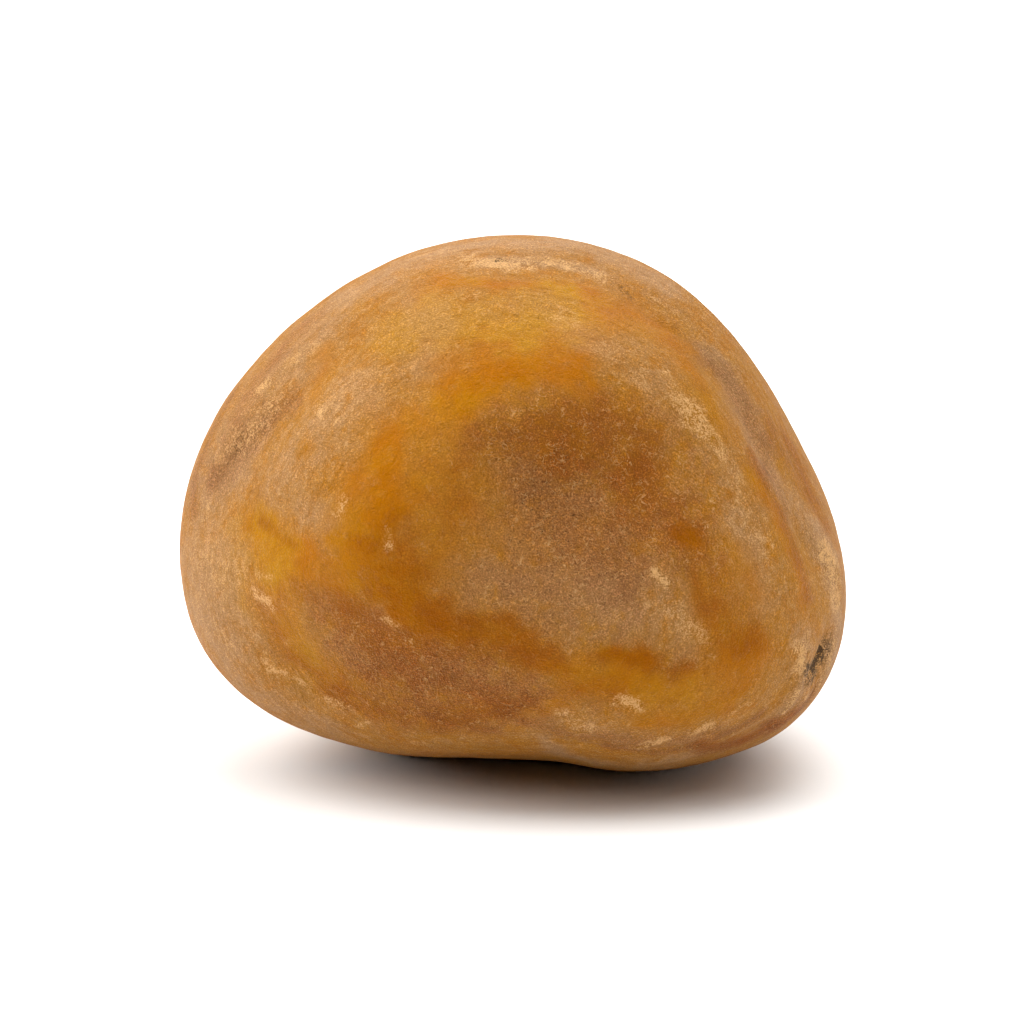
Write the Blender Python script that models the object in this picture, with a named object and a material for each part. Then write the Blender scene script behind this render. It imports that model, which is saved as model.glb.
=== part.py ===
"""A sea-worn lump of milky amber that rests on a small flat spot.

Metres, +Z up. The origin is on the table, under the middle of the stone.
The stone is shaped as it faces the viewer, with X to the right, Y away from the viewer and
Z up the view, and is then leaned back to how it lies on the table.
"""

import math

import bmesh
import bpy
from mathutils import Matrix, Vector

MM = 0.001

# Driving dimensions of the whole stone, in millimetres
FRONT_DEPTH = 20.0
BACK_DEPTH = 25.0
FULLNESS = 2.15  # 2 is an ellipse from outline to front, more is fuller
REST_HEIGHT = 19.9  # from the table up to the middle of the outline
LEAN = math.radians(14)
CELLS = 27  # cells along each side of the cube that is rounded into the stone
GLANCING = 0.2  # a worn face is left out where the surface looks this far away from it
VIEW_DISTANCE = 256.6  # from the eye to the outline's plane: what stands nearer looks larger
SIGHTINGS = 20  # rounds that find the surface seen at a place of the outline's plane

# The outline from the front: (right, up) from its middle, in millimetres
OUTLINE = [
    (23.6, 0.0), (20.95, 5.6), (18.0, 10.3), (14.4, 14.4), (8.55, 18.35), (1.75, 20.05),
    (-5.25, 19.5), (-11.95, 17.05), (-18.05, 12.65), (-23.1, 6.15), (-25.2, 0.0),
    (-25.55, -4.4), (-24.65, -8.95), (-22.25, -12.8), (-18.75, -15.65), (-12.6, -17.95),
    (-5.05, -18.75), (0.0, -18.95), (3.4, -19.15), (7.2, -19.75), (11.35, -19.7),
    (15.65, -18.65), (19.85, -16.65), (22.85, -13.2), (24.35, -8.8), (24.55, -4.35),
]

# Broad faces that wear has left: the way each looks (right, away, up), its distance from the
# middle in millimetres, and how tightly its rim turns
WORN_FACES = [
    ((0.08, -1.00, -0.22), 17.9, 15),  # the broad front face
    ((0.54, -0.83, 0.10), 20.0, 12),  # the inner side of the ridge
    ((0.86, -0.42, 0.36), 20.8, 16),  # the right flank, past the ridge
    ((-0.62, -0.55, 0.56), 21.2, 14),  # the left shoulder
    ((-0.38, -0.84, 0.38), 19.5, 14),  # between the shoulder and the front face
    ((0.05, -0.65, 0.76), 19.7, 16),  # the brow over the front face
    ((0.32, -0.68, 0.66), 18.7, 18),  # and its right end, down to the ridge
    ((-0.40, -0.75, -0.55), 19.8, 14),  # lower left of the front face
    ((-0.70, -0.68, -0.08), 20.9, 20),  # the left corner, blunted
    ((0.32, 0.90, 0.32), 24.6, 10),  # upper back, right of the middle
    ((-0.66, 0.72, 0.08), 23.4, 10),  # back, left
    ((0.10, 0.80, -0.60), 24.0, 10),  # lower back
]


def smooth_ring(points):
    """A function of the angle: the radius that runs smoothly through points round the middle."""
    ring = sorted((math.atan2(up, right), math.hypot(right, up)) for right, up in points)
    ring = [(a - math.tau, r) for a, r in ring[-2:]] + ring + [(a + math.tau, r) for a, r in ring[:2]]

    def slope(i):
        return (ring[i + 1][1] - ring[i - 1][1]) / (ring[i + 1][0] - ring[i - 1][0])

    def radius(angle):
        i = next(k for k in range(1, len(ring) - 2) if angle <= ring[k + 1][0])
        (start, r0), (end, r1) = ring[i], ring[i + 1]
        span = end - start
        t = (angle - start) / span
        return (
            (1 + 2 * t) * (1 - t) ** 2 * r0
            + t * (1 - t) ** 2 * span * slope(i)
            + t * t * (3 - 2 * t) * r1
            + t * t * (t - 1) * span * slope(i + 1)
        )

    return radius


outline_radius = smooth_ring(OUTLINE)


def body_radius(way):
    """How far the plain rounded body reaches in a direction, before wear."""
    across = math.hypot(way.x, way.z)
    depth = FRONT_DEPTH if way.y < 0 else BACK_DEPTH
    reach = outline_radius(math.atan2(way.z, way.x))
    return ((across / reach) ** FULLNESS + (abs(way.y) / depth) ** FULLNESS) ** (-1 / FULLNESS)


def worn_radius(way):
    """The body's reach once its broad faces are worn into it."""
    reach = body_radius(way)
    for looks, distance, tightness in WORN_FACES:
        facing = Vector(looks).normalized().dot(way)
        if facing > GLANCING:
            flat = distance / facing
            reach = (reach**-tightness + flat**-tightness) ** (-1 / tightness)
    return reach


def seen_at(right, up, side):
    """The worn surface's point seen at a place of the outline's plane, from the front (-1) or back (1)."""
    point = Vector((right, side * FRONT_DEPTH, up))
    for _ in range(SIGHTINGS):
        nearness = 1 - abs(point.y) / VIEW_DISTANCE
        way = Vector((right * nearness, point.y, up * nearness)).normalized()
        point = way * worn_radius(way)
    return point


def front(*places):
    return [seen_at(right, up, -1) for right, up in places]


def back(*places):
    return [seen_at(right, up, 1) for right, up in places]


def toward(*places):
    """The worn surface's points straight out from the middle through places (right, away, up)."""
    ways = [Vector(place).normalized() for place in places]
    return [way * worn_radius(way) for way in ways]


# Smaller relief: the line it follows, half width and height in millimetres. A hollow's height
# is below zero.
RELIEF = [
    (front((1.0, 1.0), (8.5, 2.0)), 5.5, -1.6),  # the front face is dished
    (front((3.0, -7.5), (11.0, -6.0)), 5.5, 0.7),  # belly below the dish
    (front((6.5, 12.0), (12.9, 7.3), (14.8, 4.7), (17.0, 0.6), (18.5, -2.4), (19.2, -6.9)),
     3.2, 0.45),  # the ridge
    (front((14.6, 10.2), (15.9, 8.4), (17.8, 4.7), (20.0, 0.2), (21.9, -3.9), (22.6, -5.4)),
     1.4, -0.55),  # the groove beyond it
    (front((9.5, 14.4), (12.5, 12.6), (14.6, 10.2)), 1.8, -0.25),  # and its shallow start
    (front((18.5, 2.1), (20.7, -0.5), (23.7, -3.9), (24.4, -5.4)), 1.3, 0.4),
    (front((-23.4, -0.9), (-20.9, 3.4), (-17.6, 8.0), (-13.8, 11.2)), 3.2, -0.8),  # left hollow
    (front((-22.5, -4.2), (-18.0, -5.0)), 4.0, 0.6),  # the left lobe
    (front((-19.2, -1.0), (-16.5, -3.2)), 1.5, -0.4),  # the short crease above the lobe
    (front((-20.4, -7.0), (-18.2, -11.0), (-15.5, -13.5)), 2.2, -0.35),  # the crease below it
    (front((-12.5, 9.0), (-11.5, 1.0)), 5.0, 0.3),  # the shoulder beside the front face
    (front((20.4, -12.2), (17.4, -17.2)), 1.8, -0.45),  # lower right
    (front((21.6, -10.6), (20.8, -15.0)), 1.3, 0.35),
    (front((23.3, -10.4), (22.6, -12.6)), 1.1, -0.8),  # the pit at the lower right
    (front((-1.0, 18.0), (6.0, 17.6)), 2.0, -0.25),  # a shallow dip near the top
    (back((-6.0, 3.0), (3.0, 6.0)), 7.0, -0.9),
    (back((9.0, -4.0), (13.0, -10.0)), 5.5, -0.8),
    (back((-16.0, -2.0), (-12.0, -8.0)), 4.5, 0.6),
    (back((-20.0, 4.0), (-12.0, 11.0), (-2.0, 14.5)), 3.0, -0.6),
    (back((8.0, 9.0), (14.0, 3.0)), 5.0, 0.5),
    (toward((11.0, 6.0, -19.4), (3.0, 6.5, -18.4), (-9.0, 7.0, -17.9)), 3.2, 1.2),  # its foot
]


def off_line(point, line):
    """How far a point is from a line of straight stretches."""
    nearest = math.inf
    for start, end in zip(line, line[1:]):
        run = end - start
        share = max(0.0, min(1.0, (point - start).dot(run) / run.length_squared))
        nearest = min(nearest, (point - start - run * share).length)
    return nearest


def surface(way):
    """The finished stone's surface in a direction from its middle."""
    point = way * worn_radius(way)
    rise = sum(
        height * math.exp(-((off_line(point, line) / half_width) ** 2))
        for line, half_width, height in RELIEF
    )
    return point + way * rise


def build_stone():
    """Rounds a divided cube into the stone, leans it back and cuts its flat spot."""
    mesh = bmesh.new()
    bmesh.ops.create_cube(mesh, size=2)
    bmesh.ops.subdivide_edges(mesh, edges=mesh.edges, cuts=CELLS - 1, use_grid_fill=True)
    for vertex in mesh.verts:
        # the tangent keeps the cells even once they lie on the ball
        way = Vector(math.tan(side * math.pi / 4) for side in vertex.co).normalized()
        vertex.co = surface(way)

    as_it_lies = Matrix.Translation((0, 0, REST_HEIGHT)) @ Matrix.Rotation(-LEAN, 4, "X")
    bmesh.ops.transform(mesh, matrix=as_it_lies, verts=mesh.verts)
    cut = bmesh.ops.bisect_plane(
        mesh,
        geom=mesh.verts[:] + mesh.edges[:] + mesh.faces[:],
        plane_co=(0, 0, 0),
        plane_no=(0, 0, 1),
        clear_inner=True,
    )
    rim = [edge for edge in cut["geom_cut"] if isinstance(edge, bmesh.types.BMEdge)]
    bmesh.ops.holes_fill(mesh, edges=rim)
    bmesh.ops.triangulate(mesh, faces=[face for face in mesh.faces if len(face.verts) > 4])

    middle = [
        (min(v.co[axis] for v in mesh.verts) + max(v.co[axis] for v in mesh.verts)) / 2
        for axis in (0, 1)
    ]
    bmesh.ops.translate(mesh, vec=(-middle[0], -middle[1], 0), verts=mesh.verts)
    bmesh.ops.scale(mesh, vec=(MM, MM, MM), verts=mesh.verts)
    bmesh.ops.recalc_face_normals(mesh, faces=mesh.faces)

    data = bpy.data.meshes.new("amber")
    mesh.to_mesh(data)
    mesh.free()
    data.shade_smooth()
    return data


def amber_material():
    """Waxy yellow-brown amber with a dull, weathered skin."""
    material = bpy.data.materials.new("weathered amber")
    material.use_nodes = True
    shader = material.node_tree.nodes["Principled BSDF"]
    shader.inputs["Base Color"].default_value = (0.50, 0.22, 0.055, 1)
    shader.inputs["Roughness"].default_value = 0.55
    shader.inputs["Metallic"].default_value = 0.0
    shader.inputs["IOR"].default_value = 1.54
    return material


def main():
    for old in list(bpy.data.objects):
        bpy.data.objects.remove(old)
    specimen = bpy.data.collections.new("amber specimen")
    bpy.context.scene.collection.children.link(specimen)
    stone = bpy.data.objects.new("amber", build_stone())
    stone.data.materials.append(amber_material())
    specimen.objects.link(stone)


main()
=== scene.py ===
import math
import random

import bmesh
import bpy
import numpy as np
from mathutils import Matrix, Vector, noise
from mathutils.bvhtree import BVHTree


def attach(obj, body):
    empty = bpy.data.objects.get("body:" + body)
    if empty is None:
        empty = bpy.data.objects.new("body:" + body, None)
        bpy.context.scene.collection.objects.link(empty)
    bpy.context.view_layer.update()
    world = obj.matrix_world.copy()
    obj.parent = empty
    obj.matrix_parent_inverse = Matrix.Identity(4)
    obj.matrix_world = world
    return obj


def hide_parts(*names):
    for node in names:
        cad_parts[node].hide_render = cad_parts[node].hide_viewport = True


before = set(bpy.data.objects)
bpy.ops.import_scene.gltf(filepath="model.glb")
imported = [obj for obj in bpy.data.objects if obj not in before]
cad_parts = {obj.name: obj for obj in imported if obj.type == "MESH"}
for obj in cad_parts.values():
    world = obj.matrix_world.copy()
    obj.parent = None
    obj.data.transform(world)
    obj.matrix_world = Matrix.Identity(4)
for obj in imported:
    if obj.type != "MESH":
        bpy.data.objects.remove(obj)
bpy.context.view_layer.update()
print("frame loaded")

mm = 0.001

# The camera stands at the photo's viewing angle. Its view is taken to be 1024 pixels square.
view = {
    "pixels": 1024,
    "lens": 120,  # mm
    "sensor": 36,  # mm
    "elevation": math.radians(14),
    "distance": 256.6 * mm,
    "aim": Vector((-0.07, -0.27, 18.81)) * mm,
    "clip": (0.01, 20),  # m
}

# Broad soft lights as far off as the walls of a white room, and none on the camera's side.
# Each has its way round from the camera towards the right, its height and its strength.
studio = {
    "floorHalf": 2.0,  # m
    "paper": "F4F3F1",
    "paperRoughness": 0.9,
    "softness": math.radians(56),  # how wide each light looks from the stone
    "lights": {
        "left": (270, 38, 3.8),
        "highRight": (90, 65, 2.0),
        "behind": (180, 38, 1.55),
        "lowRight": (90, 12, 0.95),
        "above": (0, 90, 1.5),
    },
}


def linear(hexColour):
    # an sRGB hex value as linear red, green, blue and alpha
    channels = [int(hexColour[i : i + 2], 16) / 255 for i in (0, 2, 4)]
    return (*(c / 12.92 if c <= 0.04045 else ((c + 0.055) / 1.055) ** 2.4 for c in channels), 1.0)


def addNode(tree, kind, links=None, out=0, **settings):
    # links gives each input socket a value or the output that feeds it
    node = tree.nodes.new(kind)
    for name, value in settings.items():
        setattr(node, name, value)
    for socket, value in (links or {}).items():
        if isinstance(value, bpy.types.NodeSocket):
            tree.links.new(value, node.inputs[socket])
        else:
            node.inputs[socket].default_value = value
    return node.outputs[out]


def towards(azimuth, elevation):
    # azimuth 0 is the camera's side, 90 its right
    return Vector((
        math.sin(azimuth) * math.cos(elevation),
        -math.cos(azimuth) * math.cos(elevation),
        math.sin(elevation),
    ))


def addCamera():
    out = towards(0, view["elevation"])
    data = bpy.data.cameras.new("camera")
    data.lens = view["lens"]
    data.sensor_width = view["sensor"]
    data.clip_start, data.clip_end = view["clip"]
    camera = bpy.data.objects.new("camera", data)
    camera.location = view["aim"] + out * view["distance"]
    camera.rotation_mode = "QUATERNION"
    camera.rotation_quaternion = out.to_track_quat("Z", "Y")
    bpy.context.scene.collection.objects.link(camera)
    bpy.context.scene.camera = camera


def addStudio():
    mesh = bmesh.new()
    bmesh.ops.create_grid(mesh, x_segments=1, y_segments=1, size=studio["floorHalf"])
    data = bpy.data.meshes.new("floor")
    mesh.to_mesh(data)
    mesh.free()
    floor = bpy.data.objects.new("floor", data)
    bpy.context.scene.collection.objects.link(floor)
    # matt white paper: uncoated pulp, which scatters light evenly and has no gloss
    material = bpy.data.materials.new("matt white paper")
    material.use_nodes = True
    shader = material.node_tree.nodes["Principled BSDF"]
    shader.inputs["Base Color"].default_value = linear(studio["paper"])
    shader.inputs["Roughness"].default_value = studio["paperRoughness"]
    shader.inputs["Specular IOR Level"].default_value = 0.0
    data.materials.append(material)

    for name, (azimuth, elevation, strength) in studio["lights"].items():
        lamp = bpy.data.lights.new(name, "SUN")
        lamp.angle = studio["softness"]
        lamp.energy = strength
        holder = bpy.data.objects.new(name, lamp)
        out = towards(math.radians(azimuth), math.radians(elevation))
        holder.rotation_mode = "QUATERNION"
        holder.rotation_quaternion = out.to_track_quat("Z", "Y")
        bpy.context.scene.collection.objects.link(holder)

    # the room past the paper is white to the eye and gives no light of its own
    world = bpy.data.worlds.new("white room")
    world.use_nodes = True
    tree = world.node_tree
    eye = addNode(tree, "ShaderNodeLightPath", out="Is Camera Ray")
    tree.nodes["Background"].inputs["Color"].default_value = (1, 1, 1, 1)
    tree.links.new(eye, tree.nodes["Background"].inputs["Strength"])
    bpy.context.scene.world = world
    bpy.context.scene.view_settings.view_transform = "Standard"


# The stone's body: the solid, welded and smoothed
body = {
    "weld": 0.15 * mm,  # what lies closer than this is one corner
    "flatBelow": 0.02 * mm,  # what lies lower than this belongs to the flat spot
    "facesMeet": math.radians(30),  # triangles that bend less than this may be joined
    "squareness": math.radians(50),  # and the corners may be this far from square
    "rings": (1.2 * mm, 1.6 * mm),  # steps inwards over the flat spot
    "levels": 2,
    "fade": 1.2 * mm,  # above the table, where the relief has come to its full height
}


def stoneBody():
    mesh = bmesh.new()
    mesh.from_mesh(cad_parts["amber"].data)
    bmesh.ops.remove_doubles(mesh, verts=mesh.verts, dist=body["weld"])
    bmesh.ops.join_triangles(
        mesh, faces=mesh.faces, angle_face_threshold=body["facesMeet"],
        angle_shape_threshold=body["squareness"],
    )
    # the flat spot is one face again, with rings that follow its rim
    low = [face for face in mesh.faces if all(v.co.z < body["flatBelow"] for v in face.verts)]
    spot = bmesh.ops.dissolve_faces(mesh, faces=low)["region"]
    for width in body["rings"]:
        bmesh.ops.inset_region(mesh, faces=spot, thickness=width)
    bmesh.ops.poke(mesh, faces=spot)
    data = bpy.data.meshes.new("weatheredStone")
    mesh.to_mesh(data)
    mesh.free()
    stone = bpy.data.objects.new("weatheredStone", data)
    bpy.context.scene.collection.objects.link(stone)
    smoothing = stone.modifiers.new("smoothing", "SUBSURF")
    smoothing.levels = smoothing.render_levels = body["levels"]
    finished = bpy.data.meshes.new_from_object(
        stone.evaluated_get(bpy.context.evaluated_depsgraph_get())
    )
    stone.modifiers.clear()
    stone.data = finished
    finished.shade_smooth()
    bpy.data.meshes.remove(data)
    return stone


# Marks of the skin, each a soft stroke through places of the photo, in its pixels, after its
# half width in millimetres and its strength.
marks = {
    # smooth windows worn through to honey-coloured resin
    "honey": [
        (2.2, 1.0, [(458, 388), (486, 376), (536, 364), (580, 366)]),  # the arc over the dish
        (2.4, 0.5, [(450, 346), (520, 330), (590, 318)]),
        (2.4, 1.0, [(392, 440), (388, 468), (382, 506), (374, 548)]),  # down the dish's left side
        (2.4, 0.5, [(442, 430), (446, 490), (438, 550)]),
        (3.4, 0.3, [(470, 484), (484, 540)]),
        (1.4, 0.6, [(352, 482), (350, 508)]),
        (2.6, 0.9, [(352, 560), (380, 574), (406, 598)]),  # and on below
        (1.4, 0.8, [(250, 516), (268, 526), (300, 552)]),  # the left lobe
        (2.0, 0.6, [(262, 556), (300, 576), (336, 590)]),
        (0.8, 0.9, [(446, 278), (500, 283), (556, 287), (592, 292)]),  # under the top's frost
        (2.1, 0.65, [(600, 304), (646, 320), (676, 346)]),  # from there to the ridge
        (1.3, 0.5, [(322, 350), (318, 388)]),  # the left shoulder
        (1.9, 0.7, [(416, 610), (466, 626), (524, 640)]),  # below the dish
        (1.8, 0.75, [(552, 666), (596, 684), (630, 676)]),
        (2.0, 0.65, [(640, 690), (696, 676), (752, 652)]),  # the belly's right end
        (1.2, 0.6, [(646, 724), (700, 712), (744, 690)]),
        (1.9, 0.6, [(708, 592), (726, 624), (742, 648)]),
        (1.9, 0.6, [(276, 606), (300, 654), (336, 684)]),
        (1.2, 0.6, [(690, 372), (706, 400), (722, 430)]),  # inside the ridge
        (0.8, 0.7, [(748, 470), (776, 520), (796, 562), (804, 604)]),  # and along it
        (0.7, 1.0, [(678, 530), (694, 542)]),
        (0.7, 1.0, [(604, 652), (646, 661)]),
        (1.3, 0.45, [(290, 728), (340, 744), (430, 752), (530, 754)]),  # the lower left edge
        (1.4, 0.6, [(716, 744), (750, 732)]),
        (1.4, 0.5, [(736, 556), (756, 590)]),
        (1.2, 0.6, [(530, 712), (556, 706)]),
        (1.4, 0.5, [(440, 276), (420, 300)]),
    ],
    # clearer, yellower resin
    "gold": [
        (3.6, 0.7, [(414, 322), (480, 316), (560, 306)]),  # over the arc
        (2.8, 0.5, [(230, 536), (268, 572)]),  # the left lobe
        (1.2, 0.4, [(258, 512), (292, 540)]),
        (1.4, 0.2, [(400, 410), (440, 396)]),
        (2.6, 0.4, [(226, 580), (250, 610)]),
        (2.0, 0.35, [(640, 706), (700, 684)]),
        (1.4, 0.3, [(690, 386), (712, 412)]),
        (1.6, 0.5, [(300, 650), (330, 676)]),
    ],
    # redder, darker resin; its stroke along the lower left edge is painted shade, where the edge turns under
    # the stone
    "deep": [
        (2.6, 0.65, [(566, 412), (606, 410), (644, 430), (640, 476)]),  # the dish's upper right
        (2.6, 0.6, [(490, 434), (530, 432), (560, 460)]),
        (1.0, 0.6, [(676, 532), (696, 542)]),
        (2.0, 0.75, [(446, 612), (500, 624), (540, 642)]),  # below the dish
        (2.4, 0.55, [(380, 560), (400, 600), (430, 640)]),
        (2.0, 0.2, [(640, 314), (672, 330), (696, 356)]),
        (0.6, 0.6, [(262, 519), (276, 532), (292, 544)]),  # the left lobe's crease
        (1.1, 0.6, [(752, 456), (772, 500), (796, 552), (808, 596)]),  # along the ridge
        (1.2, 0.7, [(606, 652), (650, 662), (684, 664)]),
        (2.0, 0.6, [(700, 580), (720, 616), (750, 640)]),
        (2.4, 0.6, [(350, 672), (430, 684), (510, 694)]),
        (1.8, 0.7, [(350, 706), (430, 722), (510, 710)]),
        (1.7, 1.0, [(286, 726), (330, 744), (400, 757), (500, 762)]),  # the lower left edge: painted shade where it turns under
        (1.2, 0.8, [(700, 748), (744, 738), (790, 716)]),
        (2.0, 0.65, [(788, 440), (806, 486), (824, 526)]),  # the right flank
        (1.2, 0.5, [(766, 420), (782, 460)]),
        (1.0, 0.35, [(664, 326), (700, 352), (732, 404), (756, 456)]),
        (2.8, 0.55, [(584, 446), (640, 484), (700, 530)]),
        (1.8, 0.8, [(356, 606), (400, 644)]),
        (1.4, 0.6, [(474, 650), (520, 656)]),
        (2.2, 0.5, [(566, 676), (610, 704)]),
        (1.0, 0.4, [(644, 536), (660, 544)]),
        (1.8, 0.5, [(402, 524), (420, 572)]),
        (1.6, 0.6, [(262, 600), (290, 650), (330, 690)]),
        (1.8, 0.5, [(300, 330), (256, 384), (236, 424)]),
        (1.2, 0.5, [(300, 590), (330, 604)]),
        (1.6, 0.35, [(450, 470), (454, 530)]),
        (1.4, 0.5, [(316, 616), (360, 634), (394, 650)]),
    ],
    # pale tan frost; on the outer edges it is also painted sheen, the pale gleam of grazing light
    "frostAndSheen": [
        (3.0, 0.7, [(312, 326), (262, 384), (226, 440), (202, 500), (192, 570), (206, 630)]),  # left flank: frost and painted sheen
        (2.4, 0.7, [(222, 556), (226, 600), (236, 640)]),
        (1.6, 0.7, [(236, 470), (252, 436)]),
        (2.2, 0.5, [(206, 630), (246, 686), (300, 720), (330, 730)]),
        (2.4, 0.5, [(346, 392), (306, 436), (276, 484)]),
        (2.0, 0.8, [(340, 300), (390, 272), (450, 250), (530, 240), (606, 252), (660, 282)]),  # over the top: frost and painted sheen
        (0.8, 0.9, [(480, 264), (540, 262), (596, 272)]),
        (1.6, 0.5, [(410, 300), (440, 330), (420, 366)]),
        (1.6, 0.35, [(600, 346), (636, 356), (660, 380)]),
        (1.5, 0.9, [(712, 356), (738, 408), (762, 458), (788, 504)]),  # the groove beyond the ridge
        (1.3, 1.0, [(806, 520), (830, 562), (838, 612), (828, 660)]),  # the right flank: frost and painted sheen
        (1.2, 0.8, [(806, 640), (804, 684), (784, 710)]),
        (1.3, 0.7, [(760, 728), (710, 748), (650, 762)]),  # the lower right edge
        (1.2, 0.4, [(540, 722), (580, 726), (650, 742), (720, 732)]),
        (1.8, 0.3, [(706, 446), (730, 482), (744, 520)]),
        (2.2, 0.45, [(600, 590), (650, 606), (684, 620)]),
        (2.2, 0.55, [(490, 572), (560, 584), (620, 596)]),
        (2.2, 0.4, [(360, 656), (400, 664), (470, 676), (520, 690)]),
        (1.1, 0.5, [(304, 514), (342, 508), (330, 530)]),
        (1.0, 0.7, [(390, 530), (386, 548)]),
        (0.9, 0.6, [(380, 618), (396, 624)]),
        (1.4, 0.5, [(556, 322), (588, 342)]),
        (1.6, 0.45, [(316, 604), (350, 598), (384, 610)]),
        (1.0, 0.5, [(560, 754), (610, 763), (660, 768)]),
        (1.2, 0.5, [(214, 492), (236, 470)]),
        (1.4, 0.45, [(744, 524), (758, 566), (762, 600)]),
        (0.8, 0.8, [(540, 738), (556, 752), (594, 763)]),
    ],
    # thick brown crust
    "crust": [
        (6.0, 0.5, [(490, 490), (560, 510), (620, 530)]),  # the dish
        (2.8, 0.7, [(526, 496), (566, 526), (606, 544)]),
        (2.4, 0.4, [(470, 566), (540, 586), (620, 590)]),
        (2.3, 0.75, [(344, 654), (390, 672), (452, 668), (506, 690), (530, 706)]),  # lower left
        (1.4, 0.6, [(410, 704), (480, 726)]),
        (1.7, 0.65, [(214, 478), (238, 452), (260, 428), (286, 404)]),  # the left hollow
        (1.4, 0.5, [(722, 368), (746, 412), (772, 462)]),  # the groove beyond the ridge
        (0.9, 0.3, [(618, 284), (668, 306)]),
        (1.1, 0.6, [(286, 724), (340, 744), (430, 753), (530, 756)]),
        (1.1, 0.85, [(706, 752), (762, 730), (812, 690)]),  # the lower right edge
        (0.5, 0.7, [(606, 745), (664, 752), (716, 738), (762, 712)]),
        (1.2, 0.55, [(560, 732), (600, 738), (660, 742), (720, 730)]),
        (1.0, 0.6, [(190, 510), (196, 470), (208, 438), (232, 396)]),
        (0.8, 0.6, [(768, 470), (784, 506)]),
    ],
    # pale scuffs and bloom
    "pale": [
        (0.8, 0.7, [(470, 262), (512, 266), (546, 260), (578, 268), (604, 278)]),  # the top
        (1.5, 0.45, [(234, 452), (256, 430), (276, 404)]),
        (0.4, 0.5, [(500, 262), (530, 266)]),
        (0.7, 0.4, [(420, 254), (470, 257)]),
        (0.4, 0.5, [(462, 298), (484, 292)]),
        (0.9, 0.4, [(546, 318), (560, 306), (572, 322)]),
        (1.6, 0.3, [(600, 346), (624, 350), (640, 370)]),
        (0.3, 0.6, [(662, 369), (667, 371)]),
        (0.7, 0.4, [(672, 384), (680, 408)]),
        (0.9, 0.6, [(684, 416), (702, 434), (716, 448)]),
        (0.7, 0.6, [(686, 402), (698, 416)]),
        (1.6, 0.35, [(738, 490), (752, 518), (768, 546)]),
        (0.5, 0.35, [(768, 468), (788, 506)]),
        (1.0, 0.85, [(822, 548), (836, 574), (838, 600)]),  # the right flank
        (0.4, 0.4, [(716, 340), (730, 358), (738, 380)]),
        (0.4, 0.4, [(700, 314), (718, 334)]),
        (0.7, 0.4, [(652, 298), (680, 318)]),
        (0.45, 0.9, [(652, 572), (668, 584)]),  # a chip in the dish
        (0.9, 0.5, [(672, 610), (688, 628), (704, 636)]),
        (0.6, 1.0, [(625, 699), (640, 707)]),  # the brightest, low in front
        (0.4, 0.5, [(610, 704), (615, 700)]),
        (0.8, 0.65, [(560, 716), (586, 729)]),
        (0.6, 0.5, [(540, 738), (550, 742)]),
        (0.5, 1.0, [(638, 747), (666, 738)]),
        (0.5, 1.0, [(696, 730), (712, 725)]),
        (0.4, 0.5, [(724, 738), (732, 734)]),
        (0.4, 0.5, [(732, 712), (744, 702)]),
        (0.5, 0.7, [(258, 388), (271, 380)]),
        (0.4, 0.5, [(320, 402), (322, 412)]),
        (1.0, 0.4, [(298, 356), (314, 344)]),
        (0.5, 0.4, [(342, 358), (350, 348)]),
        (0.6, 0.8, [(256, 594), (272, 603)]),
        (0.4, 0.5, [(258, 575), (268, 574)]),
        (0.7, 0.5, [(218, 628), (228, 640)]),
        (0.4, 0.4, [(281, 638), (285, 642)]),
        (0.5, 0.6, [(386, 618), (398, 622)]),
        (0.7, 0.5, [(262, 664), (290, 678), (322, 696), (350, 710)]),
        (0.4, 0.5, [(354, 726), (370, 722)]),
        (0.4, 0.5, [(414, 742), (430, 743)]),
        (0.5, 0.5, [(208, 506), (202, 522)]),
        (0.5, 0.6, [(346, 500), (338, 512)]),
        (0.4, 0.6, [(386, 530), (390, 546)]),
        (1.8, 0.35, [(196, 552), (212, 580), (240, 566)]),
        (0.8, 0.85, [(802, 648), (799, 674)]),  # beside the pit
        (0.4, 0.9, [(797, 690), (790, 701), (782, 714)]),
        (0.9, 0.5, [(832, 650), (822, 676), (806, 696)]),
        (0.6, 0.4, [(832, 572), (838, 600)]),
        (1.6, 0.3, [(360, 372), (330, 412)]),
    ],
    # dirt held in pits and cracks, and painted shade along the lower left edge
    "grimeAndShade": [
        (0.55, 0.95, [(821, 645), (816, 657), (811, 671)]),  # the pit
        (1.2, 0.95, [(821, 650), (816, 661), (811, 671)]),  # and round it
        (0.25, 0.8, [(494, 261), (504, 260)]),
        (0.5, 0.4, [(622, 288), (632, 300)]),
        (0.6, 0.25, [(690, 334), (698, 346)]),
        (1.7, 0.3, [(240, 448), (256, 430), (270, 412)]),
        (1.4, 0.3, [(536, 496), (550, 530)]),
        # painted shade along the bottom edge, where it turns under
        (0.9, 0.35, [(340, 748), (400, 757), (520, 760)]),
        (1.8, 0.95, [(284, 726), (320, 743), (356, 753)]),  # painted shade under the lower left edge
    ],
}

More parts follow.
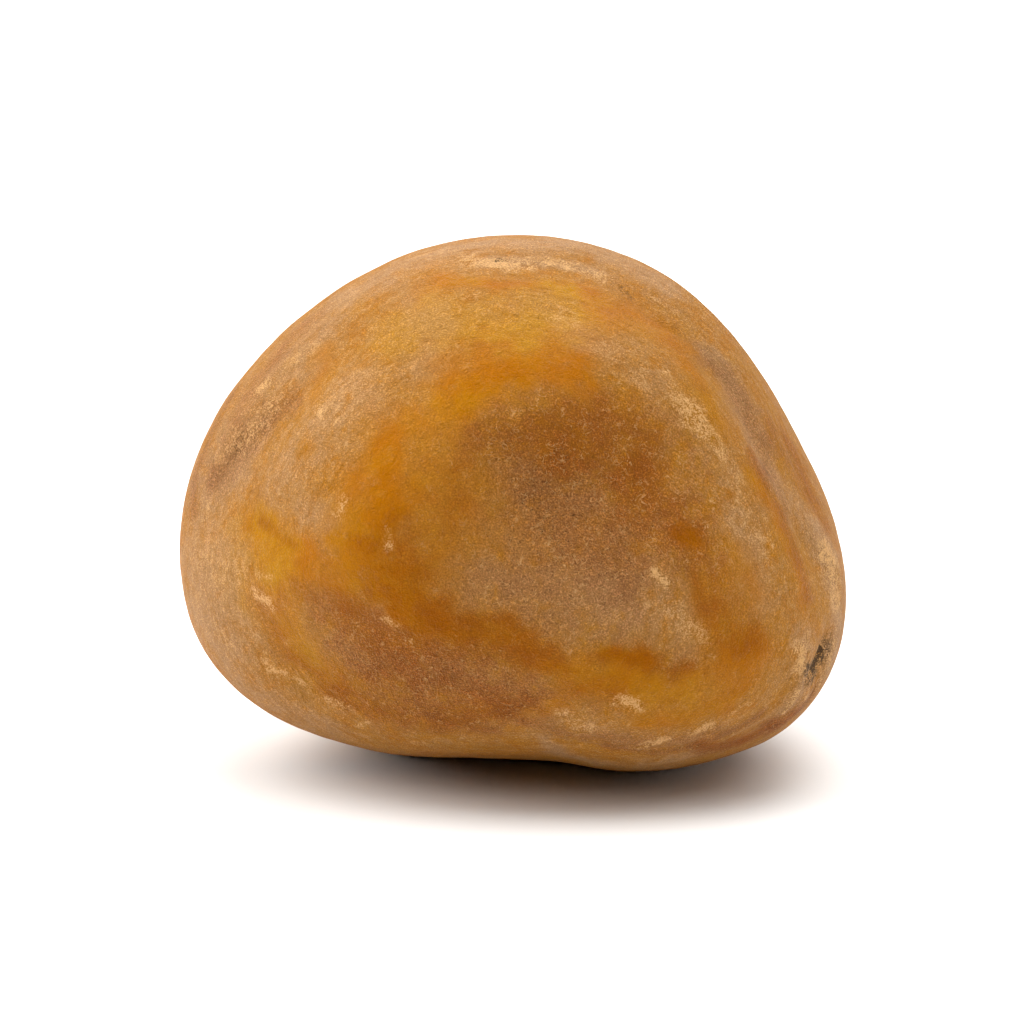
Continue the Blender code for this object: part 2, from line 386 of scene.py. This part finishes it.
# Fine relief: half width and height in millimetres, and places of the photo. A hollow's height
# is below zero.
relief = [
    (0.45, -0.30, [(824, 640), (818, 654), (812, 668), (807, 682)]),  # the dirty pit
    (0.6, 0.10, [(836, 640), (824, 668), (816, 688)]),  # its outer rim
    (0.7, 0.10, [(802, 652), (798, 682), (786, 708)]),  # and its inner one
    (0.5, -0.10, [(664, 326), (700, 348), (734, 396), (756, 448), (790, 520), (816, 566)]),  # along the ridge
    (0.5, 0.06, [(768, 466), (790, 504), (824, 548), (838, 576)]),  # and beyond it
    (0.4, 0.04, [(716, 340), (730, 358), (744, 396), (762, 436)]),
    (0.9, -0.08, [(264, 521), (276, 532), (292, 543)]),  # the short crease on the left
    (0.6, 0.07, [(256, 594), (272, 603)]),
    (0.7, -0.08, [(246, 582), (262, 612), (280, 650)]),
    (0.5, 0.07, [(258, 388), (271, 380)]),
    (0.7, -0.06, [(252, 396), (276, 392)]),
    (0.7, 0.03, [(476, 262), (512, 264), (546, 259), (578, 266), (602, 276)]),  # the top's scuff
    (0.2, -0.08, [(494, 261), (504, 260)]),
    (0.4, 0.05, [(638, 748), (664, 738)]),
    (0.4, 0.05, [(696, 730), (712, 725)]),
    (1.0, -0.10, [(650, 742), (720, 728), (770, 704)]),
    (1.0, -0.10, [(255, 436), (230, 462)]),
    (1.2, -0.05, [(478, 626), (520, 636)]),
    (0.5, 0.05, [(652, 572), (668, 584)]),
    # wrinkles along the lower right edge
    (0.30, -0.07, [(548, 738), (592, 744), (640, 750), (690, 744), (734, 726)]),
    (0.35, 0.06, [(556, 728), (600, 734), (634, 740)]),
    (0.30, -0.07, [(612, 757), (664, 758), (712, 746), (762, 722), (790, 698)]),
    (0.30, 0.06, [(676, 752), (722, 740), (764, 716)]),
    (0.25, -0.05, [(700, 736), (744, 716), (776, 690)]),
    (0.30, -0.06, [(740, 740), (780, 716), (806, 690)]),
    # and along the right flank
    (0.35, -0.05, [(742, 366), (772, 416), (794, 464), (812, 506)]),
    (0.30, 0.04, [(752, 372), (784, 424), (806, 474)]),
    (0.30, -0.04, [(694, 318), (726, 352), (750, 390)]),
    # and in the left hollow
    (0.35, -0.06, [(236, 452), (250, 432), (268, 410)]),
    (0.30, 0.05, [(244, 456), (262, 430), (278, 410)]),
    (0.30, -0.05, [(216, 488), (228, 462), (240, 446)]),
]

# The skin's own unevenness: how wide its swells are and how high, in millimetres. They are higher
# in the crust and lower in the worn windows.
swells = {
    "sizes": ((7.0, 0.10), (2.8, 0.05), (1.1, 0.022)),
    "everywhere": 0.8,
    "moreInCrust": 0.6,
    "lessInHoney": 0.4,
}

# The sides that the photo doesn't show: how many strokes each mark has there, and their least
# and greatest half widths in millimetres, and how far they run, as a share of the distance from
# the stone's middle
unseen = {
    "seed": 11,
    "strength": (0.3, 0.8),  # least and greatest
    "facing": -0.05,  # a stroke stays where the stone looks at least this far from the camera
    "strokes": {
        "honey": (24, 1.0, 2.8, 0.35),
        "gold": (6, 1.4, 2.6, 0.3),
        "deep": (14, 0.8, 2.4, 0.4),
        "frostAndSheen": (24, 1.0, 3.0, 0.5),
        "crust": (14, 1.0, 3.6, 0.4),
        "pale": (44, 0.3, 0.8, 0.06),
        "grimeAndShade": (6, 0.4, 1.0, 0.04),
    },
}

# A stroke's edge wanders by this share of its half width, over these sizes in millimetres.
# Another seed moves every edge a little.
wander = {"seed": 2, "share": 0.5, "sizes": (4.0, 1.3)}


def offLine(points, line):
    # how far each point is from a line of straight stretches
    nearest = np.full(len(points), np.inf)
    for start, end in zip(line, line[1:]):
        start, run = np.array(start), np.array(end - start)
        share = np.clip((points - start) @ run / (run @ run), 0, 1)
        nearest = np.minimum(nearest, np.linalg.norm(points - start - share[:, None] * run, axis=1))
    return nearest


def placeOf(tree, pixel):
    # the stone's point seen at the middle of a pixel of the photo, or the nearest past its edge
    out = towards(0, view["elevation"])
    right = Vector((1, 0, 0))
    step = view["sensor"] / view["lens"] / view["pixels"]
    across = (pixel[0] + 0.5 - view["pixels"] / 2) * step
    rise = (view["pixels"] / 2 - pixel[1] - 0.5) * step
    way = right * across + out.cross(right) * rise - out
    eye = view["aim"] + out * view["distance"]
    return tree.ray_cast(eye, way)[0] or tree.find_nearest(eye + way * view["distance"])[0]


def unseenStrokes(tree, dice):
    # strokes like the photo's own, on the sides that face away from it
    centre = view["aim"]
    out = towards(0, view["elevation"])
    strokes = {kind: [] for kind in unseen["strokes"]}
    for kind, (count, least, most, run) in unseen["strokes"].items():
        while len(strokes[kind]) < count:
            way = Vector(dice.gauss(0, 1) for _ in range(3)).normalized()
            drift = Vector(dice.gauss(0, 1) for _ in range(3)) * run / 2
            bend = Vector(dice.gauss(0, 1) for _ in range(3)) * run / 4
            ways = (way, way + drift + bend, way + drift * 2)  # bent half way
            line = [tree.ray_cast(centre, each)[0] for each in ways]
            if max((place - centre).normalized().dot(out) for place in line) < unseen["facing"]:
                width = dice.uniform(least, most)
                strokes[kind].append((width, dice.uniform(*unseen["strength"]), line))
    return strokes


def weatherSkin(stone):
    data = stone.data
    tree = BVHTree.FromObject(stone, bpy.context.evaluated_depsgraph_get())
    points = np.empty(len(data.vertices) * 3)
    data.vertices.foreach_get("co", points)
    points = points.reshape(-1, 3)
    normals = np.empty(len(data.vertices) * 3)
    data.vertex_normals.foreach_get("vector", normals)
    normals = normals.reshape(-1, 3)

    noise.seed_set(wander["seed"])  # noise_vector starts from the clock otherwise
    drift = sum(
        np.array([noise.noise_vector(Vector(p) / (size * mm)) for p in points])
        for size in wander["sizes"]
    )
    further = unseenStrokes(tree, random.Random(unseen["seed"]))
    weights = {}
    for kind, strokes in marks.items():
        lines = [(w, s, [placeOf(tree, p) for p in places]) for w, s, places in strokes]
        left = np.ones(len(points))
        for halfWidth, strength, line in lines + further[kind]:
            strayed = points + drift * wander["share"] * halfWidth * mm
            left *= 1 - strength * np.exp(-((offLine(strayed, line) / (halfWidth * mm)) ** 2))
        weights[kind] = 1 - left
        data.attributes.new(kind, "FLOAT", "POINT").data.foreach_set("value", weights[kind])

    rise = np.zeros(len(points))
    for size, height in swells["sizes"]:
        rise += height * np.array([noise.noise(Vector(p) / (size * mm)) for p in points])
    rise *= (
        swells["everywhere"] + swells["moreInCrust"] * weights["crust"]
        - swells["lessInHoney"] * weights["honey"]
    )
    for halfWidth, height, places in relief:
        line = [placeOf(tree, p) for p in places]
        rise += height * np.exp(-((offLine(points, line) / (halfWidth * mm)) ** 2))
    # the flat spot stays flat, and nothing goes through the table
    low = np.clip(points[:, 2] / body["fade"], 0, 1)
    points = points + normals * (rise * mm * low * low * (3 - 2 * low))[:, None]
    points[:, 2] = np.maximum(points[:, 2], 0)
    data.vertices.foreach_set("co", points.ravel())
    data.update()


# Weathered amber: tree resin hardened to succinite, rolled in the sea and then frosted by
# slow oxidation. Bare resin is smooth, deep honey. A dull skin of fine pale and brown grains
# lies on the rest, scoured round the stone, and gives back little gloss.
skin = {
    "resin": "A46002",
    "goldResin": "B07A08",
    # the deep resin's colour also paints the shade along the lower left edge
    "deepResinAndShade": "7E3E04",
    "bloom": "9C6D32",
    # the frost's colour also paints the sheen on the outer edges
    "frostAndSheen": "A27B54",
    "crust": "865530",
    # the dirt's colour also paints the shade under the lower left edge
    "cream": "CC9E66",
    "dirtAndShade": "2E251B",
    "ior": 1.54,
    "gloss": 0.11,  # the shader's specular level
    "glossTint": "E0A040",  # what the resin gives back is warmed in it
    "roughness": (0.42, 0.60),  # of bare resin and of the skin
    "shade": 0.91,  # the skin's lightness, before its grit
    "bump": 0.12,  # mm
    # size in millimetres, then the noise's detail, roughness and distortion
    "patterns": {
        "cloud": (3.2, 3, 0.5, 0.4),  # the resin's own cloudiness
        "mottle": (1.8, 5, 0.65, 0.6),  # thin and thick skin
        "fleck": (0.6, 4, 0.65, 0.5),  # bruises of the skin
        "grain": (0.11, 0, 0.5, 0.0),  # the frost's own grains
    },
    # rings round the stone's front to back axis
    "scour": {
        "width": 0.5,  # mm across one mark
        "stretch": 6.0,  # how many times longer than wide a mark is, on the ring of this radius
        "ring": 18.0,  # mm
        "detail": 3,
        "roughness": 0.75,
        "fade": (1.5, 8.0),  # mm from the axis, where it is weakest and where it is strongest
        "strength": (0.3, 4.0),  # and how strong it is there
    },
    # sums of the patterns, each by its share
    "blends": {
        "edge": {"mottle": 1.0, "fleck": 0.5, "scour": 0.6},  # breaks up the marks' edges
        "speckle": {"fleck": 1.0, "grain": 0.5, "scour": 0.7},  # breaks up scuffs, dirt and painted shade
        "grit": {"grain": 1.0, "scour": 0.6},  # lightens and darkens the skin
        "tooth": {"grain": 1.0, "scour": 1.1},  # raises it
    },
    # how ragged each mark is, and the strength at which it starts to show and shows in full
    "edges": {
        "honey": (0.3, 0.05, 0.95),
        "gold": (0.15, 0.1, 1.0),
        "deep": (0.2, 0.1, 1.0),
        "frostAndSheen": (0.3, -0.25, 1.15),
        "crust": (0.22, 0.0, 1.0),
        "pale": (1.0, 0.15, 1.15),
        "grimeAndShade": (-1.0, 0.15, 1.15),  # between the pale grains
    },
    "onlyMarked": ("pale", "grimeAndShade"),  # the other marks also stray beyond their strokes
    # the most that is seen of a layer
    "most": {"crust": 0.85, "gold": 0.35, "deep": 0.75, "scratch": 0.7, "pale": 0.75, "grimeAndShade": 0.9},
    "paleGrain": 0.2,  # how far grains change the pale scuffs
    "goldenness": (0.12, 0.35),  # of the resin between the marks, and how far its clouds change it
    "bloomCover": (0.7, 0.3),  # of the skin, and how far the edge blend changes it
    "windowBloom": 0.3,  # how far the edge blend clouds a window
    # how far grit lightens and darkens bare resin, and how much further skin and crust
    "gritStrength": {"resin": 0.09, "skin": 0.08, "crust": 0.07},
    "paleGrit": {"from": 0.4, "full": 1.1, "strength": 0.3},  # the grit's highest grains are paler
    "fleckShade": 0.04,
    "fleckHeight": 0.4,
    # fine cracks of the crust: mm apart, half widths as shares of that, how dark and how deep
    "cracks": {"apart": 0.55, "full": 0.02, "none": 0.10, "dark": 0.6, "deep": 0.5},
    # hairline scratches: mm apart, how twisted, how wide and how widespread
    "scratches": {"apart": 0.7, "twist": 1.6, "width": 0.04, "spread": 0.25},
}


def addSkin(stone):
    material = bpy.data.materials.new("weathered amber")
    material.use_nodes = True
    tree = material.node_tree
    shader = tree.nodes["Principled BSDF"]
    shader.inputs["IOR"].default_value = skin["ior"]
    shader.inputs["Specular IOR Level"].default_value = skin["gloss"]
    shader.inputs["Specular Tint"].default_value = linear(skin["glossTint"])
    place = addNode(tree, "ShaderNodeTexCoord", out="Object")

    # noise lies mostly between 0.25 and 0.75, and each pattern between -1 and 1
    patterns = {}
    for name, (size, detail, roughness, distortion) in skin["patterns"].items():
        noiseValue = addNode(
            tree, "ShaderNodeTexNoise",
            {"Vector": place, "Scale": 1 / (size * mm), "Detail": detail,
             "Roughness": roughness, "Distortion": distortion},
        )
        patterns[name] = addNode(
            tree, "ShaderNodeMath", {0: noiseValue, 1: 4.0, 2: -2.0}, operation="MULTIPLY_ADD"
        )

    # scouring is noise of the distance from the axis, the depth and the way round
    scour = skin["scour"]
    offAxis = addNode(
        tree, "ShaderNodeVectorMath", {0: place, 1: (1, 0, 1), 2: (0, 0, -view["aim"].z)},
        operation="MULTIPLY_ADD",
    )
    ringRadius = addNode(tree, "ShaderNodeVectorMath", {0: offAxis}, out="Value", operation="LENGTH")
    wayRound = addNode(tree, "ShaderNodeVectorMath", {0: offAxis}, operation="NORMALIZE")
    wayRound = addNode(
        tree, "ShaderNodeVectorMath", {0: wayRound, "Scale": scour["ring"] * mm / scour["stretch"]},
        operation="SCALE",
    )
    depth = addNode(tree, "ShaderNodeSeparateXYZ", {0: place}, out="Y")
    sine = addNode(tree, "ShaderNodeSeparateXYZ", {0: wayRound}, out="X")
    cosine = sine.node.outputs["Z"]
    ringPlace = addNode(tree, "ShaderNodeCombineXYZ", {0: ringRadius, 1: depth, 2: sine})
    rings = addNode(
        tree, "ShaderNodeTexNoise",
        {"Vector": ringPlace, "W": cosine, "Scale": 1 / (scour["width"] * mm),
         "Detail": scour["detail"], "Roughness": scour["roughness"], "Distortion": 0.0},
        noise_dimensions="4D",
    )
    (nearest, furthest), (weakest, strongest) = scour["fade"], scour["strength"]
    outwards = addNode(
        tree, "ShaderNodeMapRange",
        {"Value": ringRadius, "From Min": nearest * mm, "From Max": furthest * mm,
         "To Min": weakest, "To Max": strongest},
    )
    rings = addNode(tree, "ShaderNodeMath", {0: rings, 1: 0.5}, operation="SUBTRACT")
    patterns["scour"] = addNode(tree, "ShaderNodeMath", {0: rings, 1: outwards}, operation="MULTIPLY")

    blends = {}
    for name, shares in skin["blends"].items():
        blends[name] = 0.0
        for pattern, share in shares.items():
            blends[name] = addNode(
                tree, "ShaderNodeMath", {0: patterns[pattern], 1: share, 2: blends[name]},
                operation="MULTIPLY_ADD",
            )

    cover = {}
    for kind, (ragged, starts, full) in skin["edges"].items():
        marked = addNode(tree, "ShaderNodeAttribute", out="Fac", attribute_name=kind)
        edge = blends["edge"]
        if kind in skin["onlyMarked"]:
            edge = addNode(
                tree, "ShaderNodeMath", {0: blends["speckle"], 1: marked}, operation="MULTIPLY"
            )
        broken = addNode(
            tree, "ShaderNodeMath", {0: edge, 1: ragged, 2: marked}, operation="MULTIPLY_ADD"
        )
        cover[kind] = addNode(
            tree, "ShaderNodeMapRange", {"Value": broken, "From Min": starts, "From Max": full},
            interpolation_type="SMOOTHSTEP",
        )
    # a thin bloom still lies on parts of the windows
    clear = addNode(
        tree, "ShaderNodeMath", {0: blends["edge"], 1: -skin["windowBloom"], 2: 1.0},
        operation="MULTIPLY_ADD", use_clamp=True,
    )
    worn = addNode(tree, "ShaderNodeMath", {0: cover["honey"], 1: clear}, operation="MULTIPLY")
    skinLeft = addNode(tree, "ShaderNodeMath", {0: 1.0, 1: worn}, operation="SUBTRACT")
    bloomCover, bloomChange = skin["bloomCover"]
    bloom = addNode(
        tree, "ShaderNodeMath", {0: blends["edge"], 1: bloomChange, 2: bloomCover},
        operation="MULTIPLY_ADD", use_clamp=True,
    )

    # resin first, then what lies on it, then its marks
    goldenness, cloudChange = skin["goldenness"]
    golden = addNode(
        tree, "ShaderNodeMath", {0: patterns["cloud"], 1: cloudChange, 2: goldenness},
        operation="MULTIPLY_ADD",
    )
    golden = addNode(
        tree, "ShaderNodeMath", {0: golden, 1: cover["gold"]}, operation="ADD", use_clamp=True
    )
    colour = addNode(
        tree, "ShaderNodeMix",
        {0: golden, 6: linear(skin["resin"]), 7: linear(skin["goldResin"])},
        out=2, data_type="RGBA",
    )
    most = skin["most"]
    crusted = addNode(tree, "ShaderNodeMath", {0: skinLeft, 1: most["crust"]}, operation="MULTIPLY")
    # the deep resin layer also carries the painted shade of the lower left edge
    # the frost layer also carries painted sheen on the outer edges
    for share, limit, layer in (
        (bloom, skinLeft, "bloom"), (cover["frostAndSheen"], skinLeft, "frostAndSheen"),
        (cover["crust"], crusted, "crust"), (cover["gold"], most["gold"], "goldResin"),
        (cover["deep"], most["deep"], "deepResinAndShade"),
    ):
        share = addNode(tree, "ShaderNodeMath", {0: share, 1: limit}, operation="MULTIPLY")
        colour = addNode(
            tree, "ShaderNodeMix", {0: share, 6: colour, 7: linear(skin[layer])}, out=2, data_type="RGBA"
        )

    # grit and flecks lighten and darken it, least on bare resin and most on crust
    further = skin["gritStrength"]
    strength = addNode(
        tree, "ShaderNodeMath", {0: skinLeft, 1: further["skin"], 2: further["resin"]},
        operation="MULTIPLY_ADD",
    )
    strength = addNode(
        tree, "ShaderNodeMath", {0: cover["crust"], 1: further["crust"], 2: strength},
        operation="MULTIPLY_ADD",
    )
    shade = addNode(
        tree, "ShaderNodeMath", {0: blends["grit"], 1: strength, 2: skin["shade"]},
        operation="MULTIPLY_ADD",
    )
    paleGrit = skin["paleGrit"]
    grains = addNode(
        tree, "ShaderNodeMapRange",
        {"Value": blends["grit"], "From Min": paleGrit["from"], "From Max": paleGrit["full"]},
        interpolation_type="SMOOTHSTEP",
    )
    grains = addNode(tree, "ShaderNodeMath", {0: grains, 1: skinLeft}, operation="MULTIPLY")
    shade = addNode(
        tree, "ShaderNodeMath", {0: grains, 1: paleGrit["strength"], 2: shade},
        operation="MULTIPLY_ADD",
    )
    shade = addNode(
        tree, "ShaderNodeMath", {0: patterns["fleck"], 1: skin["fleckShade"], 2: shade},
        operation="MULTIPLY_ADD",
    )

    # fine cracks net the crust
    cracks = skin["cracks"]
    toCrack = addNode(
        tree, "ShaderNodeTexVoronoi", {"Vector": place, "Scale": 1 / (cracks["apart"] * mm)},
        feature="DISTANCE_TO_EDGE",
    )
    crack = addNode(
        tree, "ShaderNodeMapRange",
        {"Value": toCrack, "From Min": cracks["full"], "From Max": cracks["none"],
         "To Min": 1.0, "To Max": 0.0},
    )
    cracked = addNode(
        tree, "ShaderNodeMath", {0: cover["crust"], 1: patterns["fleck"]}, operation="MULTIPLY",
        use_clamp=True,
    )
    crack = addNode(tree, "ShaderNodeMath", {0: crack, 1: cracked}, operation="MULTIPLY")
    shade = addNode(
        tree, "ShaderNodeMath", {0: crack, 1: -cracks["dark"], 2: shade}, operation="MULTIPLY_ADD"
    )
    colour = addNode(
        tree, "ShaderNodeVectorMath", {0: colour, "Scale": shade}, operation="SCALE"
    )

    # a scratch lies where a twisted pattern passes its middle value
    scratches = skin["scratches"]
    twisted = addNode(
        tree, "ShaderNodeTexNoise",
        {"Vector": place, "Scale": 1 / (scratches["apart"] * mm), "Detail": 1,
         "Distortion": scratches["twist"]},
    )
    offMiddle = addNode(tree, "ShaderNodeMath", {0: twisted, 1: 0.5}, operation="SUBTRACT")
    offMiddle = addNode(tree, "ShaderNodeMath", {0: offMiddle}, operation="ABSOLUTE")
    scratch = addNode(
        tree, "ShaderNodeMapRange",
        {"Value": offMiddle, "From Min": 0.0, "From Max": scratches["width"],
         "To Min": 1.0, "To Max": 0.0},
    )
    here = addNode(
        tree, "ShaderNodeMath", {0: patterns["fleck"], 1: scratches["spread"]}, operation="ADD",
        use_clamp=True,
    )
    here = addNode(tree, "ShaderNodeMath", {0: here, 1: skinLeft}, operation="MULTIPLY")
    scratch = addNode(tree, "ShaderNodeMath", {0: scratch, 1: here}, operation="MULTIPLY")
    palest = addNode(
        tree, "ShaderNodeMath", {0: patterns["grain"], 1: skin["paleGrain"], 2: most["pale"]},
        operation="MULTIPLY_ADD",
    )
    # the dirt layer also carries the painted shade of the lower left edge
    for share, limit, layer in (
        (scratch, most["scratch"], "cream"), (cover["pale"], palest, "cream"),
        (cover["grimeAndShade"], most["grimeAndShade"], "dirtAndShade"),
    ):
        share = addNode(
            tree, "ShaderNodeMath", {0: share, 1: limit}, operation="MULTIPLY", use_clamp=True
        )
        colour = addNode(
            tree, "ShaderNodeMix", {0: share, 6: colour, 7: linear(skin[layer])}, out=2, data_type="RGBA"
        )
    tree.links.new(colour, shader.inputs["Base Color"])

    smooth, dull = skin["roughness"]
    rough = addNode(
        tree, "ShaderNodeMapRange", {"Value": skinLeft, "To Min": smooth, "To Max": dull}
    )
    tree.links.new(rough, shader.inputs["Roughness"])

    height = addNode(tree, "ShaderNodeMath", {0: blends["tooth"], 1: strength}, operation="MULTIPLY")
    height = addNode(
        tree, "ShaderNodeMath", {0: patterns["fleck"], 1: skin["fleckHeight"], 2: height},
        operation="MULTIPLY_ADD",
    )
    height = addNode(
        tree, "ShaderNodeMath", {0: crack, 1: -cracks["deep"], 2: height}, operation="MULTIPLY_ADD"
    )
    bump = addNode(
        tree, "ShaderNodeBump", {"Height": height, "Distance": skin["bump"] * mm, "Strength": 1.0},
        out="Normal",
    )
    tree.links.new(bump, shader.inputs["Normal"])
    stone.data.materials.clear()
    stone.data.materials.append(material)


addCamera()
addStudio()
print("camera and studio placed")
stone = stoneBody()
print("stone smoothed:", len(stone.data.polygons), "faces")
weatherSkin(stone)
print("skin weathered")
addSkin(stone)
print("skin coloured")
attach(stone, "root")
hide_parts("amber")
